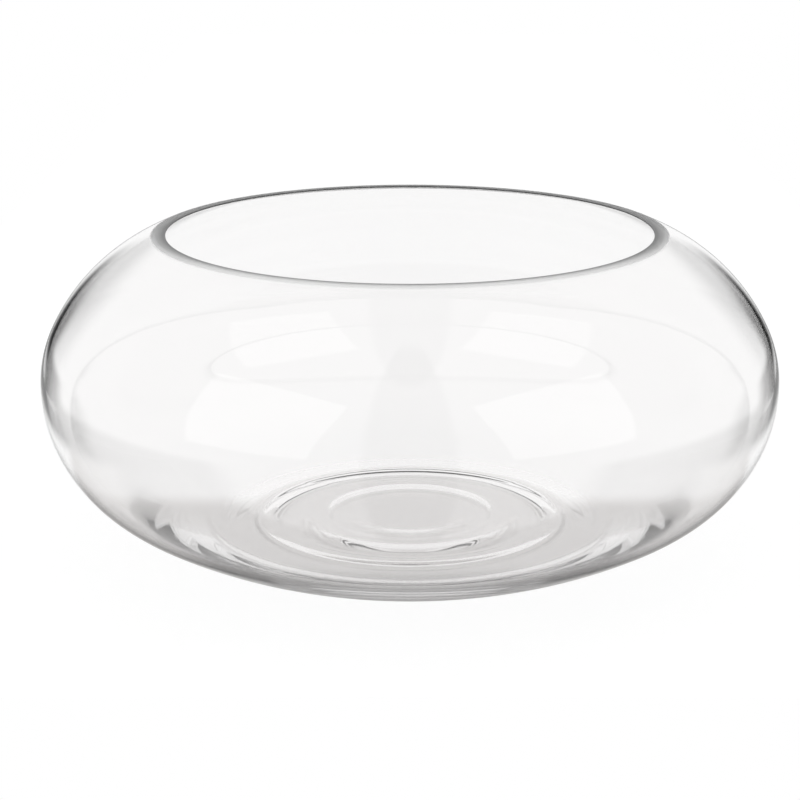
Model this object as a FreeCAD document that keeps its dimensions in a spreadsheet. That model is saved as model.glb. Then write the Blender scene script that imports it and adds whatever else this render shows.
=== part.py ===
import FreeCAD, Part
import math
import os

import Sketcher

# A squat, wide-bellied bowl of clear blown glass for water and floating candles.
# It is one piece of glass, so it is one body: half of its section is drawn to the
# right of the Z axis and turned once round that axis.
# Millimetres, +Z up, origin at the centre of the ring that the bowl stands on.

os.makedirs("parts", exist_ok=True)
doc = FreeCAD.newDocument("floating_candle_bowl")

# Driving sizes: name, value, what it is
sizes = [
    ("widest_diameter", 300.0, "outside, at the widest level of the belly"),
    ("widest_level", 68.5, "height of the widest level above the table"),
    ("bowl_height", 127.7, "table to the ground top of the rim"),
    ("rim_diameter", 203.6, "outer edge of the flat ground on the rim"),
    ("rim_round", 5.5, "worn outer edge of the rim"),
    ("lip_round", 0.3, "polished inner edge of the rim"),
    ("wall", 2.0, "glass from the rim down to the widest level"),
    ("heel_round", 22.0, "outside curve that turns under to the foot"),
    ("foot_diameter", 157.0, "outer edge of the flat ring that the bowl stands on"),
    ("foot_width", 13.8, "that ring, from its outer edge to its inner edge"),
    ("recess_slope", 5.9, "soft step from the ring up to the recess"),
    ("recess_depth", 0.9, "recess under the base, above the table"),
    ("floor_inset", 11.5, "outer edge of the foot to the lowest line of the floor inside"),
    ("floor_level", 4.4, "that line above the table"),
    ("floor_round", 16.0, "curve of the floor from that line to the wall"),
    ("bead_width", 6.3, "lowest line of the floor in to the crest of the outer bead"),
    ("bead_rise", 1.6, "that crest above the lowest line"),
    ("moat_width", 8.7, "crest of the bead in to the lowest line inside it"),
    ("moat_fall", 1.2, "that line below the crest"),
    ("ridge_width", 15.0, "that line in to the crest of the inner ridge"),
    ("ridge_rise", 1.3, "that crest above the line"),
    ("gully_width", 5.5, "crest of the ridge in to the lowest line inside it"),
    ("gully_fall", 0.7, "that line below the crest"),
    ("dome_rise", 0.7, "flat middle of the floor above that line"),
]

# Proportions of the outline's curves: name, value, what it is
shares = [
    ("shoulder_turn_share", 0.68, "turn of the shoulder, of the lean of the upper chord"),
    ("rim_lean_share", 0.422, "slope of the wall at the rim, of the chord's"),
    ("belly_turn_share", 1.262, "turn of the belly, of the lean of the lower chord"),
    ("heel_lean_share", 0.427, "slope of the wall at the heel, of the chord's"),
    ("inner_belly_lean_share", 0.595, "slope inside where the belly ends, of the chord's"),
    ("inner_heel_lean_share", 0.191, "slope of the floor where the wall starts, of the chord's"),
    ("dome_slope_share", 0.43, "width of the dome's slope, of the radius that it starts at"),
]

# What follows from them: name, formula, what it is
formulas = [
    ("half_width", "widest_diameter / 2", "outside radius at the widest level"),
    ("inside_across", "half_width - wall", "inside radius there"),
    ("rim_across", "rim_diameter / 2", "outer edge of the rim's flat"),
    ("foot_end", "foot_diameter / 2", "outer edge of the foot"),
    ("foot_start", "foot_end - foot_width", "inner edge of the foot"),
    ("recess_end", "foot_start - recess_slope", "edge of the flat under the base"),
    ("floor_across", "foot_end - floor_inset", "lowest line of the floor"),
    ("bead_across", "floor_across - bead_width", "crest of the bead"),
    ("bead_level", "floor_level + bead_rise", "that crest above the table"),
    ("moat_across", "bead_across - moat_width", "lowest line inside the bead"),
    ("moat_level", "bead_level - moat_fall", "that line above the table"),
    ("ridge_across", "moat_across - ridge_width", "crest of the ridge"),
    ("ridge_level", "moat_level + ridge_rise", "that crest above the table"),
    ("gully_across", "ridge_across - gully_width", "lowest line inside the ridge"),
    ("gully_level", "ridge_level - gully_fall", "that line above the table"),
    ("dome_across", "gully_across * (1 - dome_slope_share)", "edge of the flat middle"),
    ("dome_level", "gully_level + dome_rise", "flat middle above the table"),
    ("upper_rise", "bowl_height - widest_level", "widest level to the rim"),
    ("inner_drop", "widest_level - floor_level", "widest level to the floor"),
    ("upper_lean", "atan2(half_width - rim_across; upper_rise) / 1deg", "chord to the rim"),
    ("lower_lean", "atan2(half_width - foot_end; widest_level) / 1deg", "chord to the foot"),
    ("inner_lean", "atan2(inside_across - floor_across; inner_drop) / 1deg", "chord to the floor"),
    ("upper_turn", "90 - rim_lean_share * (90 - upper_lean)", "widest level to the rim"),
    ("lower_turn", "90 - heel_lean_share * (90 - lower_lean)", "widest level to the heel"),
    ("inner_turn", "90 - inner_heel_lean_share * (90 - inner_lean)", "the same inside"),
    ("shoulder_turn", "shoulder_turn_share * upper_lean", "degrees round its own centre"),
    ("brow_turn", "upper_turn - shoulder_turn", "degrees round its own centre"),
    ("belly_turn", "belly_turn_share * lower_lean", "degrees round its own centre"),
    ("flank_turn", "lower_turn - belly_turn", "degrees round its own centre"),
    ("inner_belly_turn", "90 - inner_belly_lean_share * (90 - inner_lean)", "the same"),
    ("inner_flank_turn", "inner_turn - inner_belly_turn", "degrees round its own centre"),
]

sheet = doc.addObject("Spreadsheet::Sheet", "Sizes")
cells = sizes + shares + formulas
for row, (alias, value, note) in enumerate(cells, start=1):
    sheet.set(f"A{row}", alias)
    sheet.set(f"B{row}", f"={value}")
    sheet.set(f"C{row}", note)
    sheet.setAlias(f"B{row}", alias)
doc.recompute()
size = {alias: float(sheet.get(alias)) for alias, value, note in cells}


# The outline of the section is a chain of tangent curves and flats. A curve is its
# centre and its bulge: the radius, negative where the centre lies in the air, so
# that the glass is hollow there.
def point(across, up):
    """A point of the section: distance from the Z axis, height above the table."""
    return FreeCAD.Vector(across, up, 0)


def swell(start, end, air):
    """Two equal curves between two level lines of a face whose air is above, 1, or below, -1."""
    width, gain = end.x - start.x, (end.y - start.y) * air
    bulge = -(width**2 + gain**2) / (4 * gain)
    lift = point(0, air) * bulge
    return (start - lift, bulge), (end + lift, -bulge)


def sweep(widest, first_turn, whole_turn, goal, side, hollow):
    """Two curves from the widest level, upright there, to a third curve above, 1, or below, -1."""
    near, far = [
        point(math.cos(turn), side * math.sin(turn))
        for turn in (math.radians(first_turn), math.radians(whole_turn))
    ]
    way = goal[0] + far * abs(goal[1]) - widest
    before, after = near - point(1, 0), far - near
    area = before.cross(after).z
    first_round = way.cross(after).z / area
    second_round = before.cross(way).z / area
    centre = widest - point(first_round, 0)
    return (
        (centre, first_round * hollow),
        (centre + near * (first_round - second_round), second_round * hollow),
    )


# Lines round the glass where its face is level
recess_line = point(size["recess_end"], size["recess_depth"])
foot_line = point(size["foot_start"], 0)
rings = ["floor", "bead", "moat", "ridge", "gully", "dome"]
line = {name: point(size[name + "_across"], size[name + "_level"]) for name in rings}

# Outside: the step under the base, heel, flank, belly, shoulder, brow and rim
curve = {}
curve["recess_corner"], curve["recess_edge"] = swell(recess_line, foot_line, -1)
widest = point(size["half_width"], size["widest_level"])
heel_round, rim_round, lip_round = size["heel_round"], size["rim_round"], size["lip_round"]
curve["heel"] = point(size["foot_end"], heel_round), heel_round
curve["rim_edge"] = point(size["rim_across"], size["bowl_height"] - rim_round), rim_round
curve["belly"], curve["flank"] = sweep(
    widest, size["belly_turn"], size["lower_turn"], curve["heel"], -1, 1
)
curve["shoulder"], curve["brow"] = sweep(
    widest, size["shoulder_turn"], size["upper_turn"], curve["rim_edge"], 1, 1
)

# Inside: the wall is of one thickness down to the widest level and thickens below it
for name in ("brow", "shoulder"):
    centre, bulge = curve[name]
    curve["inner_" + name] = centre, size["wall"] - bulge
centre, bulge = curve["inner_brow"]
lip_level = size["bowl_height"] - lip_round
lip_reach = math.sqrt((lip_round - bulge)**2 - (lip_level - centre.y)**2)
curve["lip"] = point(centre.x + lip_reach, lip_level), lip_round
curve["hollow"] = line["floor"] + point(0, size["floor_round"]), -size["floor_round"]
curve["inner_belly"], curve["inner_flank"] = sweep(
    point(size["inside_across"], size["widest_level"]),
    size["inner_belly_turn"], size["inner_turn"], curve["hollow"], -1, -1,
)
swells, levels = [], {}
for before, after in zip(rings, rings[1:]):
    start, end = after + "_start", after + "_end"
    curve[start], curve[end] = swell(line[before], line[after], 1)
    swells += [start, end]
    levels[start] = before

# Once round the glass, with the glass on the left
outline = [
    "recess", "recess_corner", "recess_edge", "foot", "heel", "flank", "belly",
    "shoulder", "brow", "rim_edge", "rim", "lip", "inner_brow", "inner_shoulder",
    "inner_belly", "inner_flank", "hollow", *swells, "middle",
]
flats = {
    "recess": point(0, -1), "foot": point(0, -1), "rim": point(0, 1), "middle": point(0, 1),
}

body = doc.addObject("PartDesign::Body", "GlassBowl")
body.Label = "glass_bowl"
upright = [plane for plane in body.Origin.OriginFeatures if plane.Role == "XZ_Plane"][0]
section = body.newObject("Sketcher::SketchObject", "Section")
section.AttachmentSupport = [(upright, "")]
section.MapMode = "FlatFace"

# Where each piece of the outline ends and the next one starts
joints = [point(0, size["recess_depth"])]
for before, after in zip(outline, outline[1:]):
    if after in levels:
        touch = line[levels[after]]
    elif before in flats:
        touch = curve[after][0] + flats[before] * curve[after][1]
    elif after in flats:
        touch = curve[before][0] + flats[after] * curve[before][1]
    else:
        way = curve[after][0] - curve[before][0]
        touch = curve[before][0] + way * (curve[before][1] / (curve[before][1] - curve[after][1]))
    joints.append(touch)
joints.append(point(0, size["dome_level"]))

START, END, CENTRE = 1, 2, 3
ORIGIN, ACROSS, UP = -1, -1, -2
piece, first, last = {}, {}, {}
for name, start, end in zip(outline, joints, joints[1:]):
    first[name], last[name] = START, END
    if name in flats:
        shape = Part.LineSegment(start, end)
    else:
        centre, bulge = curve[name]
        if bulge < 0:
            start, end = end, start
            first[name], last[name] = END, START
        turn = [math.atan2(spot.y - centre.y, spot.x - centre.x) for spot in (start, end)]
        circle = Part.Circle(centre, FreeCAD.Vector(0, 0, 1), abs(bulge))
        shape = Part.ArcOfCircle(circle, *turn)
    piece[name] = section.addGeometry(shape, False)
piece["axis"] = section.addGeometry(Part.LineSegment(joints[-1], joints[0]), False)


def rule(*parts):
    """A constraint that holds by itself."""
    section.addConstraint(Sketcher.Constraint(*parts))


def drive(cell, *parts):
    """A constraint whose value is a cell of the sheet."""
    value = math.radians(size[cell]) if parts[0] == "Angle" else size[cell]
    number = section.addConstraint(Sketcher.Constraint(*parts, value))
    section.renameConstraint(number, f"{cell}_{number}")
    section.setExpression(f"Constraints.{cell}_{number}", f"Sizes.{cell}")


for before, after in zip(outline, outline[1:]):
    rule("Tangent", piece[before], last[before], piece[after], first[after])
rule("Coincident", piece["middle"], last["middle"], piece["axis"], START)
rule("Coincident", piece["axis"], END, piece["recess"], START)
rule("PointOnObject", piece["axis"], START, UP)
rule("PointOnObject", piece["axis"], END, UP)
rule("PointOnObject", piece["foot"], START, ACROSS)
for name in flats:
    rule("Horizontal", piece[name])
for before, after in zip(outline, outline[1:]):
    if after in levels:
        rule("Vertical", piece[before], CENTRE, piece[after], first[after])
rule("Equal", piece["recess_corner"], piece["recess_edge"])
for one, other in zip(swells[::2], swells[1::2]):
    rule("Equal", piece[one], piece[other])
for name in ("shoulder", "inner_belly"):
    rule("Horizontal", piece[name], CENTRE, piece["belly"], CENTRE)
for name in ("brow", "shoulder"):
    rule("Coincident", piece["inner_" + name], CENTRE, piece[name], CENTRE)

for name, cell in (
    ("heel", "heel_round"), ("rim_edge", "rim_round"), ("lip", "lip_round"),
    ("hollow", "floor_round"),
):
    drive(cell, "Radius", piece[name])
for name in ("shoulder", "brow", "belly", "flank", "inner_belly", "inner_flank"):
    drive(name + "_turn", "Angle", piece[name])
for name, cell in (
    ("recess_corner", "recess_end"), ("foot", "foot_start"), ("heel", "foot_end"),
    ("shoulder", "half_width"), ("rim", "rim_across"), ("inner_belly", "inside_across"),
    ("middle", "dome_across"),
):
    drive(cell, "DistanceX", ORIGIN, START, piece[name], first[name])
for name, cell in (
    ("recess", "recess_depth"), ("shoulder", "widest_level"), ("rim", "bowl_height"),
    ("middle", "dome_level"),
):
    drive(cell, "DistanceY", ORIGIN, START, piece[name], first[name])
for name, ring in levels.items():
    drive(ring + "_across", "DistanceX", ORIGIN, START, piece[name], first[name])
    drive(ring + "_level", "DistanceY", ORIGIN, START, piece[name], first[name])

turned = body.newObject("PartDesign::Revolution", "Turned")
turned.Profile = section
turned.ReferenceAxis = (section, ["V_Axis"])
turned.Angle = 360
body.Tip = turned
body.Placement = FreeCAD.Placement()

doc.recompute()
for item in doc.Objects:
    if "Invalid" in item.State or "Error" in item.State:
        raise RuntimeError(f"{item.Name} failed: {item.State}")
if not section.FullyConstrained:
    raise RuntimeError("the section isn't fully constrained")
if body.Shape.isNull() or not body.Shape.isValid():
    raise RuntimeError("the glass isn't a valid solid")

box = body.Shape.optimalBoundingBox()
litres = body.Shape.Volume / 1000000
print(f"{body.Label}: {box.XLength:.2f} x {box.YLength:.2f} x {box.ZLength:.2f} mm")
print(f"{litres:.4f} l of glass, mouth {2 * (curve['lip'][0].x - lip_round):.1f} mm")
body.Shape.exportStep(f"parts/{body.Label}.step")
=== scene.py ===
import math

import bpy
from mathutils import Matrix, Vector


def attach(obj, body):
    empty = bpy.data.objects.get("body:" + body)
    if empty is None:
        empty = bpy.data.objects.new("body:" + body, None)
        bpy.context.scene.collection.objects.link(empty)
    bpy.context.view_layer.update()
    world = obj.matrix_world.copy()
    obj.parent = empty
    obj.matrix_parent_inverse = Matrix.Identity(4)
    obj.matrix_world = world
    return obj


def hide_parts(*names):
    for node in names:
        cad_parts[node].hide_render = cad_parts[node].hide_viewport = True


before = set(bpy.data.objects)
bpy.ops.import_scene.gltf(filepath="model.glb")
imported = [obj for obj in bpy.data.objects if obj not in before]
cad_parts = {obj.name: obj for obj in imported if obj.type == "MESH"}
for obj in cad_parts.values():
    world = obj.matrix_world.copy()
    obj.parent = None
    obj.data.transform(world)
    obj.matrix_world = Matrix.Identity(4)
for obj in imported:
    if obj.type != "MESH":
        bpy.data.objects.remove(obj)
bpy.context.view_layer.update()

# A shader value that sums can be written with: 1 - mask adds its own Math node
class Wire:
    def __init__(self, nodes, socket):
        self.nodes, self.socket = nodes, socket

    def sum(self, operation, *values):
        node = self.nodes.add("Math", {"operation": operation}, dict(enumerate(values)))
        return Wire(self.nodes, node.outputs[0])

    def __add__(self, other):
        return self.sum("ADD", self, other)

    def __sub__(self, other):
        return self.sum("SUBTRACT", self, other)

    def __rsub__(self, other):
        return self.sum("SUBTRACT", other, self)

    def __mul__(self, other):
        return self.sum("MULTIPLY", self, other)

    def __pow__(self, other):
        return self.sum("POWER", self, other)

    def __abs__(self):
        return self.sum("ABSOLUTE", self)

    __radd__, __rmul__ = __add__, __mul__

    # 0 below one value, 1 above another, and a soft step between them
    def rise(self, low, high):
        settings = {"interpolation_type": "SMOOTHSTEP"}
        node = self.nodes.add("MapRange", settings, {0: self, 1: low, 2: high, 3: 0, 4: 1})
        return Wire(self.nodes, node.outputs[0])


class Nodes:
    def __init__(self, owner):
        owner.use_nodes = True
        self.tree = owner.node_tree
        self.tree.nodes.clear()

    # A node of one type, its settings first, then the values or links of its sockets
    def add(self, kind, settings, sockets):
        node = self.tree.nodes.new("ShaderNode" + kind)
        for name, value in settings.items():
            setattr(node, name, value)
        for name, value in sockets.items():
            if isinstance(value, Wire):
                self.tree.links.new(value.socket, node.inputs[name])
            else:
                node.inputs[name].default_value = value
        return node

    def wire(self, kind, settings, sockets, output=0):
        return Wire(self, self.add(kind, settings, sockets).outputs[output])

    def place(self, output="Object"):
        coordinates = self.wire("TexCoord", {}, {}, output)
        node = self.add("SeparateXYZ", {}, {0: coordinates})
        return [Wire(self, node.outputs[axis]) for axis in "XYZ"]

    # Two colours together: a Mix node takes colours at sockets 6 and 7 and gives one at 2
    def mix(self, share, first, second, blend="MIX"):
        first, second = [
            colour if isinstance(colour, Wire) else (*colour, 1) for colour in (first, second)
        ]
        settings = {"data_type": "RGBA", "blend_type": blend}
        return self.wire("Mix", settings, {0: share, 6: first, 7: second}, 2)

    def ray(self, kind):
        return self.wire("LightPath", {}, {}, f"Is {kind} Ray")


def selectNothing():
    if bpy.context.object and bpy.context.object.mode == "EDIT":
        bpy.ops.object.mode_set(mode="OBJECT")
    bpy.ops.object.select_all(action="DESELECT")


millimetre = 0.001

# The glass bowl
# Millimetres on the half section: across is the distance from the axis, up the height
bowlSizes = dict(
    widest=300.0, widestLevel=68.5, height=127.7, rim=203.6, rimRound=5.5, lipRound=0.3,
    wall=2.0, heelRound=22.0, foot=157.0, footWidth=13.8, recessSlope=5.9, recessDepth=0.9,
    floorInset=11.5, floorLevel=4.4, floorRound=16.0,
    # The floor's soft rings from the wall in: how wide each slope is, and how far it rises
    floorRings=((6.3, 1.6), (8.7, -1.2), (15.0, 1.3), (5.5, -0.7), (13.5, 0.7)),
    shoulderTurnShare=0.68, rimLeanShare=0.422, bellyTurnShare=1.262, heelLeanShare=0.427,
    innerBellyLeanShare=0.595, innerHeelLeanShare=0.191,
    turnSteps=252,  # round the axis
    curveStep=1.6,  # degrees of a curve between two rings
    fewestSteps=6,  # rings on the shortest curve
    weld=0.01,  # points nearer than this become one
    same=1e-6,  # rounds and centres nearer than this count as one
)


def spot(across, up):
    return Vector((across, up))


# Two equal curves from one level ring of a face to the next. The air is above the face, 1, or
# below it, -1
def swell(start, end, air):
    width, gain = end.x - start.x, (end.y - start.y) * air
    bulge = -(width**2 + gain**2) / (4 * gain)
    lift = spot(0, air * bulge)
    return (start - lift, bulge), (end + lift, -bulge)


# Two curves from the widest ring, where the wall is upright, to a third curve above it, side 1,
# or below it, side -1. The glass bulges out, hollow 1, or the face is hollow, -1
def sweep(widest, firstTurn, wholeTurn, goal, side, hollow):
    near, far = [
        spot(math.cos(math.radians(turn)), side * math.sin(math.radians(turn)))
        for turn in (firstTurn, wholeTurn)
    ]
    way = goal[0] + far * abs(goal[1]) - widest
    before, after = near - spot(1, 0), far - near
    firstRound = way.cross(after) / before.cross(after)
    secondRound = before.cross(way) / before.cross(after)
    centre = widest - spot(firstRound, 0)
    secondCentre = centre + near * (firstRound - secondRound)
    return (centre, firstRound * hollow), (secondCentre, secondRound * hollow)


# How far a chord leans from upright, in degrees
def lean(across, up):
    return math.degrees(math.atan2(across, up))


# The half section as a chain: each curve a centre and a bulge (negative where the glass is
# hollow), each flat a direction out of the glass, and the point where each of them ends
def bowlOutline(size):
    halfWidth, level, height = size["widest"] / 2, size["widestLevel"], size["height"]
    rimAcross, footEnd = size["rim"] / 2, size["foot"] / 2
    footStart = footEnd - size["footWidth"]
    recessLine = spot(footStart - size["recessSlope"], size["recessDepth"])
    floorLine = spot(footEnd - size["floorInset"], size["floorLevel"])
    ringLines, rings = [floorLine], []
    for width, rise in size["floorRings"]:
        ringLines.append(ringLines[-1] + spot(-width, rise))
        rings += swell(*ringLines[-2:], 1)
    upperLean = lean(halfWidth - rimAcross, height - level)
    lowerLean = lean(halfWidth - footEnd, level)
    innerLean = lean(halfWidth - size["wall"] - floorLine.x, level - floorLine.y)

    heel = spot(footEnd, size["heelRound"]), size["heelRound"]
    rimEdge = spot(rimAcross, height - size["rimRound"]), size["rimRound"]
    hollow = floorLine + spot(0, size["floorRound"]), -size["floorRound"]
    belly, flank = sweep(
        spot(halfWidth, level), size["bellyTurnShare"] * lowerLean,
        90 - size["heelLeanShare"] * (90 - lowerLean), heel, -1, 1,
    )
    shoulder, brow = sweep(
        spot(halfWidth, level), size["shoulderTurnShare"] * upperLean,
        90 - size["rimLeanShare"] * (90 - upperLean), rimEdge, 1, 1,
    )
    innerBelly, innerFlank = sweep(
        spot(halfWidth - size["wall"], level),
        90 - size["innerBellyLeanShare"] * (90 - innerLean),
        90 - size["innerHeelLeanShare"] * (90 - innerLean), hollow, -1, -1,
    )
    innerBrow = brow[0], size["wall"] - brow[1]
    innerShoulder = shoulder[0], size["wall"] - shoulder[1]
    lipLevel = height - size["lipRound"]
    lipReach = math.sqrt((size["lipRound"] - innerBrow[1])**2 - (lipLevel - brow[0].y)**2)
    lip = spot(brow[0].x + lipReach, lipLevel), size["lipRound"]
    down, up = spot(0, -1), spot(0, 1)
    chain = [
        down, *swell(recessLine, spot(footStart, 0), -1), down, heel, flank, belly,
        shoulder, brow, rimEdge, up, lip, innerBrow, innerShoulder, innerBelly, innerFlank,
        hollow, *rings, up,
    ]
    ends, same = [], size["same"]
    for before, after in zip(chain, chain[1:]):
        if isinstance(before, Vector):
            ends.append(after[0] + before * after[1])
        elif isinstance(after, Vector):
            ends.append(before[0] + after * before[1])
        elif abs(before[1] - after[1]) < same or (before[0] - after[0]).length < same:
            ends.append(before[0] + up * before[1])
        else:
            way = (after[0] - before[0]) / (before[1] - after[1])
            ends.append(before[0] + way * before[1])
    ends.append(spot(0, ringLines[-1].y))
    return chain, ends


# Traces the half section with spins and extrusions of one vertex, then spins it round the axis
def makeBowl(size):
    chain, ends = bowlOutline(size)
    here = spot(0, size["recessDepth"])
    selectNothing()
    start = (here.x * millimetre, 0, here.y * millimetre)
    bpy.ops.mesh.primitive_plane_add(size=millimetre, location=start)
    bowl = bpy.context.object
    bowl.name = "bowl"
    bpy.ops.object.transform_apply(location=True, rotation=True, scale=True)
    bpy.ops.object.mode_set(mode="EDIT")
    bpy.ops.mesh.select_all(action="SELECT")
    bpy.ops.mesh.merge(type="CENTER")
    for part, end in zip(chain, ends):
        if isinstance(part, Vector):
            move = (end - here) * millimetre
            bpy.ops.mesh.extrude_region_move(
                TRANSFORM_OT_translate={"value": (move.x, 0, move.y)}
            )
        else:
            centre, bulge = part
            arms = here - centre, end - centre
            turn = math.atan2(arms[0].cross(arms[1]), arms[0].dot(arms[1]))
            steps = max(size["fewestSteps"], round(abs(math.degrees(turn)) / size["curveStep"]))
            bpy.ops.mesh.spin(
                steps=steps, angle=turn, axis=(0, 1, 0),
                center=(centre.x * millimetre, 0, centre.y * millimetre),
            )
        here = end
    bpy.ops.mesh.select_all(action="SELECT")
    bpy.ops.mesh.spin(
        steps=size["turnSteps"], angle=math.tau, axis=(0, 0, 1), center=(0, 0, 0),
        use_auto_merge=True,
    )
    bpy.ops.mesh.select_all(action="SELECT")
    bpy.ops.mesh.remove_doubles(threshold=size["weld"] * millimetre)
    bpy.ops.mesh.normals_make_consistent(inside=False)
    bpy.ops.object.mode_set(mode="OBJECT")
    bpy.ops.object.shade_smooth()
    return bowl


glassLook = dict(
    tint=(0.988, 0.984, 0.983),
    index=1.52,
    # The ground band on top has painted shade: dark at its inner edge, clearing towards its
    # outer edge
    rimShadeInner=(0.02, 0.02, 0.021),
    rimShadeOuter=(0.72, 0.72, 0.72),
    rimShadeReach=(98.8, 103.8),  # distances from the axis, in millimetres
    rimRoughness=0.35,
    rimSoft=(0.8, 0.27),  # millimetres under the top between which the ground band ends
    shadow=(0.93, 0.94, 0.94),  # what passes through to the table
)


def glassMaterial(look, size):
    material = bpy.data.materials.new("clearGlass")
    nodes = Nodes(material)
    x, y, z = nodes.place()
    ground = z.rise(*[(size["height"] - under) * millimetre for under in look["rimSoft"]])
    across = (x * x + y * y) ** 0.5
    # Painted shade on the ground band: near black at its inner edge, clearing to grey at its
    # outer edge
    shadeFade = across.rise(*[reach * millimetre for reach in look["rimShadeReach"]])
    band = nodes.mix(shadeFade, look["rimShadeInner"], look["rimShadeOuter"])
    colour = nodes.mix(ground, look["tint"], band)
    glass = nodes.wire("BsdfPrincipled", {}, {
        "Base Color": colour, "Roughness": ground * look["rimRoughness"],
        "IOR": look["index"], "Transmission Weight": 1.0,
    })
    clear = nodes.wire("BsdfTransparent", {}, {"Color": (*look["shadow"], 1)})
    both = nodes.wire("MixShader", {}, {0: nodes.ray("Shadow"), 1: glass, 2: clear})
    nodes.add("OutputMaterial", {}, {"Surface": both})
    return material


bowl = makeBowl(bowlSizes)
bowl.data.materials.append(glassMaterial(glassLook, bowlSizes))
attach(bowl, "root")
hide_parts("glass_bowl")
print("bowl turned:", len(bowl.data.polygons), "faces")


# The table: a pale strip that the camera sees as white. In the glass it has a painted shadow
# under the base and from the bowl's middle to the front, painted shade deeper at the front
# edge, and painted shade at its sides.
# Metres, and each reach is where a change of light starts and ends
table = dict(
    halfWidth=0.30, front=-0.17, back=2.0, gap=0.0002,
    level=0.97, cameraLevel=1.03,
    # Painted shadow and painted shade: the light each leaves, and where each starts and ends
    shadowUnderBase=0.62, baseShadowReach=(0.060, 0.076), middleShadowReach=(0.005, 0.03),
    frontShade=0.28, frontShadeReach=(-0.09, -0.06),
    beside=0.12, sideShadeReach=(0.20, 0.25),
    shadowTone=(1.0, 0.975, 0.965),  # the tone of its dim part
    shadowShare=0.15,  # how much of the table's light comes from the lamps
    colour=(0.95, 0.95, 0.95, 1),
)


def makeTable(size):
    selectNothing()
    middle = (size["front"] + size["back"]) / 2
    bpy.ops.mesh.primitive_plane_add(size=1, location=(0, middle, -size["gap"]))
    top = bpy.context.object
    top.name = "table"
    top.scale = (2 * size["halfWidth"], size["back"] - size["front"], 1)
    bpy.ops.object.transform_apply(location=True, rotation=True, scale=True)
    material = bpy.data.materials.new("paleTable")
    nodes = Nodes(material)
    x, y, z = nodes.place()
    radius = (x * x + y * y) ** 0.5
    # Painted shadow under the base and from the middle to the front, then painted shade at the
    # front edge and at the sides
    away = radius.rise(*size["baseShadowReach"]) * y.rise(*size["middleShadowReach"])
    front = 1 - y.rise(*size["frontShadeReach"])
    light = size["shadowUnderBase"] + away * (size["level"] - size["shadowUnderBase"])
    light = light + front * (size["frontShade"] - light)
    light = light + abs(x).rise(*size["sideShadeReach"]) * (size["beside"] - light)
    cameraRay = nodes.ray("Camera")
    light = light + cameraRay * (size["cameraLevel"] - light)
    # The painted shadow takes the warm tone, and camera rays stay white
    tone = nodes.mix(away + cameraRay, size["shadowTone"], (1, 1, 1))
    glow = nodes.wire("Emission", {}, {"Color": nodes.mix(1, tone, light, "MULTIPLY")})
    matt = nodes.wire("BsdfDiffuse", {}, {"Color": size["colour"]})
    both = nodes.wire("MixShader", {}, {0: size["shadowShare"], 1: glow, 2: matt})
    nodes.add("OutputMaterial", {}, {"Surface": both})
    top.data.materials.append(material)
    return top


makeTable(table)
print("table laid")


# The room: an even white light with soft dark places that the glass shows at its edges
room = dict(
    level=0.98,
    # direction round the axis from behind the bowl, half width and softness, lowest and
    # highest elevation, softness of each, all in degrees, and the light that is left
    darkPlaces=[
        dict(turn=26, half=8, soft=8, low=-10, high=6, lowSoft=4, highSoft=12, light=0.02),
        dict(turn=38, half=10, soft=10, low=-14, high=-4, lowSoft=3, highSoft=4, light=0.02),
        dict(turn=80, half=42, soft=16, low=-80, high=-12, lowSoft=4, highSoft=6, light=0.3),
        dict(turn=180, half=14, soft=3, low=-75, high=80, lowSoft=4, highSoft=10, light=0.6),
    ],
)


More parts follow.
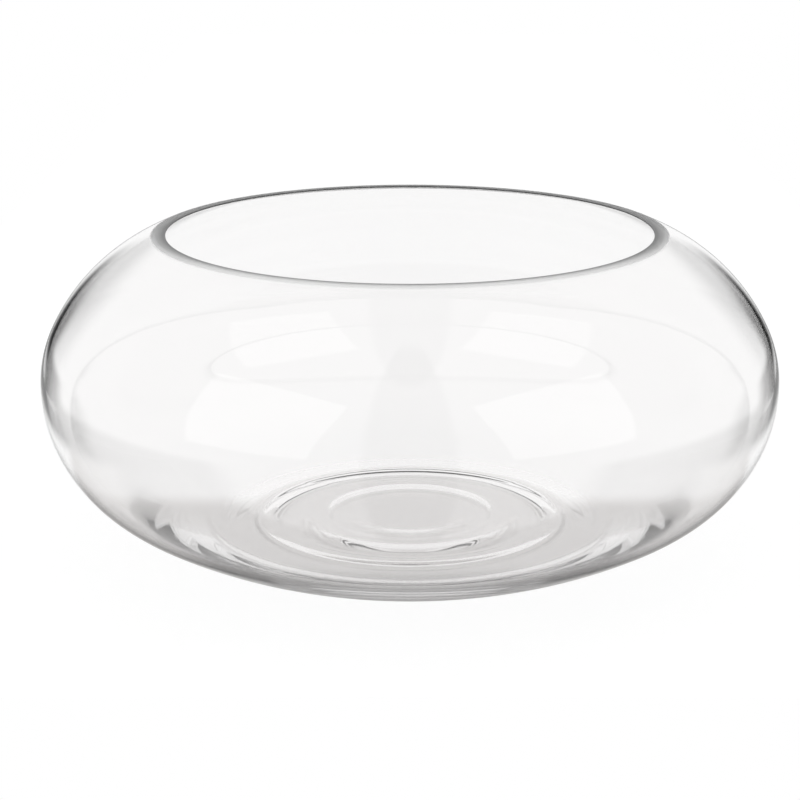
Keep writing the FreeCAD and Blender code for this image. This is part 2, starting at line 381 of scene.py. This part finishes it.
def lightRoom(size):
    world = bpy.data.worlds.new("room")
    bpy.context.scene.world = world
    nodes = Nodes(world)
    x, y, z = nodes.place("Generated")
    degree = math.radians(1)
    turn = abs(x.sum("ARCTAN2", x, y)) * (1 / degree)
    elevation = z.sum("ARCSINE", z) * (1 / degree)
    light = size["level"]
    for dark in size["darkPlaces"]:
        half, soft = dark["half"], dark["soft"] / 2
        aside = 1 - abs(turn - dark["turn"]).rise(half - soft, half + soft)
        lowSoft, highSoft = dark["lowSoft"] / 2, dark["highSoft"] / 2
        above = elevation.rise(dark["low"] - lowSoft, dark["low"] + lowSoft)
        below = 1 - elevation.rise(dark["high"] - highSoft, dark["high"] + highSoft)
        mask = aside * above * below
        light = light * (1 - mask) + mask * dark["light"]
    light = light + nodes.ray("Camera") * (1 - light)
    glow = nodes.wire("Background", {}, {"Color": light})
    nodes.add("OutputWorld", {}, {"Surface": glow})


lightRoom(room)

# Two soft boxes beside the camera
softBoxes = dict(across=1.2, along=-1.1, up=0.75, width=1.3, height=1.4, watts=2.6)


def hangSoftBoxes(size):
    for side in (-1, 1):
        selectNothing()
        place = Vector((side * size["across"], size["along"], size["up"]))
        bpy.ops.object.light_add(type="AREA", location=place)
        box = bpy.context.object
        box.name = "softBoxLeft" if side < 0 else "softBoxRight"
        box.rotation_euler = (-place).to_track_quat("-Z", "Y").to_euler()
        box.data.shape = "RECTANGLE"
        box.data.size = size["width"]
        box.data.size_y = size["height"]
        box.data.energy = size["watts"]


hangSoftBoxes(softBoxes)
print("studio lit")

# The camera at the photograph's angle, in pixels of an image of 800 by 800
view = dict(
    away=0.79297, height=0.2871, downward=0.284, focalPixels=1994.0,
    middle=(409.93, 400.4), picture=800, sensor=36.0, near=0.01,
)


def placeCamera(size):
    selectNothing()
    bpy.ops.object.camera_add(
        location=(0, -size["away"], size["height"]),
        rotation=(math.pi / 2 - size["downward"], 0, 0),
    )
    camera = bpy.context.object
    camera.name = "camera"
    camera.data.sensor_width = size["sensor"]
    camera.data.lens = size["focalPixels"] * size["sensor"] / size["picture"]
    camera.data.shift_x = 0.5 - size["middle"][0] / size["picture"]
    camera.data.shift_y = size["middle"][1] / size["picture"] - 0.5
    camera.data.clip_start = size["near"]
    bpy.context.scene.camera = camera


placeCamera(view)
bpy.context.scene.view_settings.view_transform = "Standard"

# Light runs along inside the thick base, so it needs many turns before it gets out
lightTurns = 24
lightPaths = bpy.context.scene.cycles
lightPaths.max_bounces = lightTurns
lightPaths.glossy_bounces = lightTurns
lightPaths.transmission_bounces = lightTurns
print("camera placed")
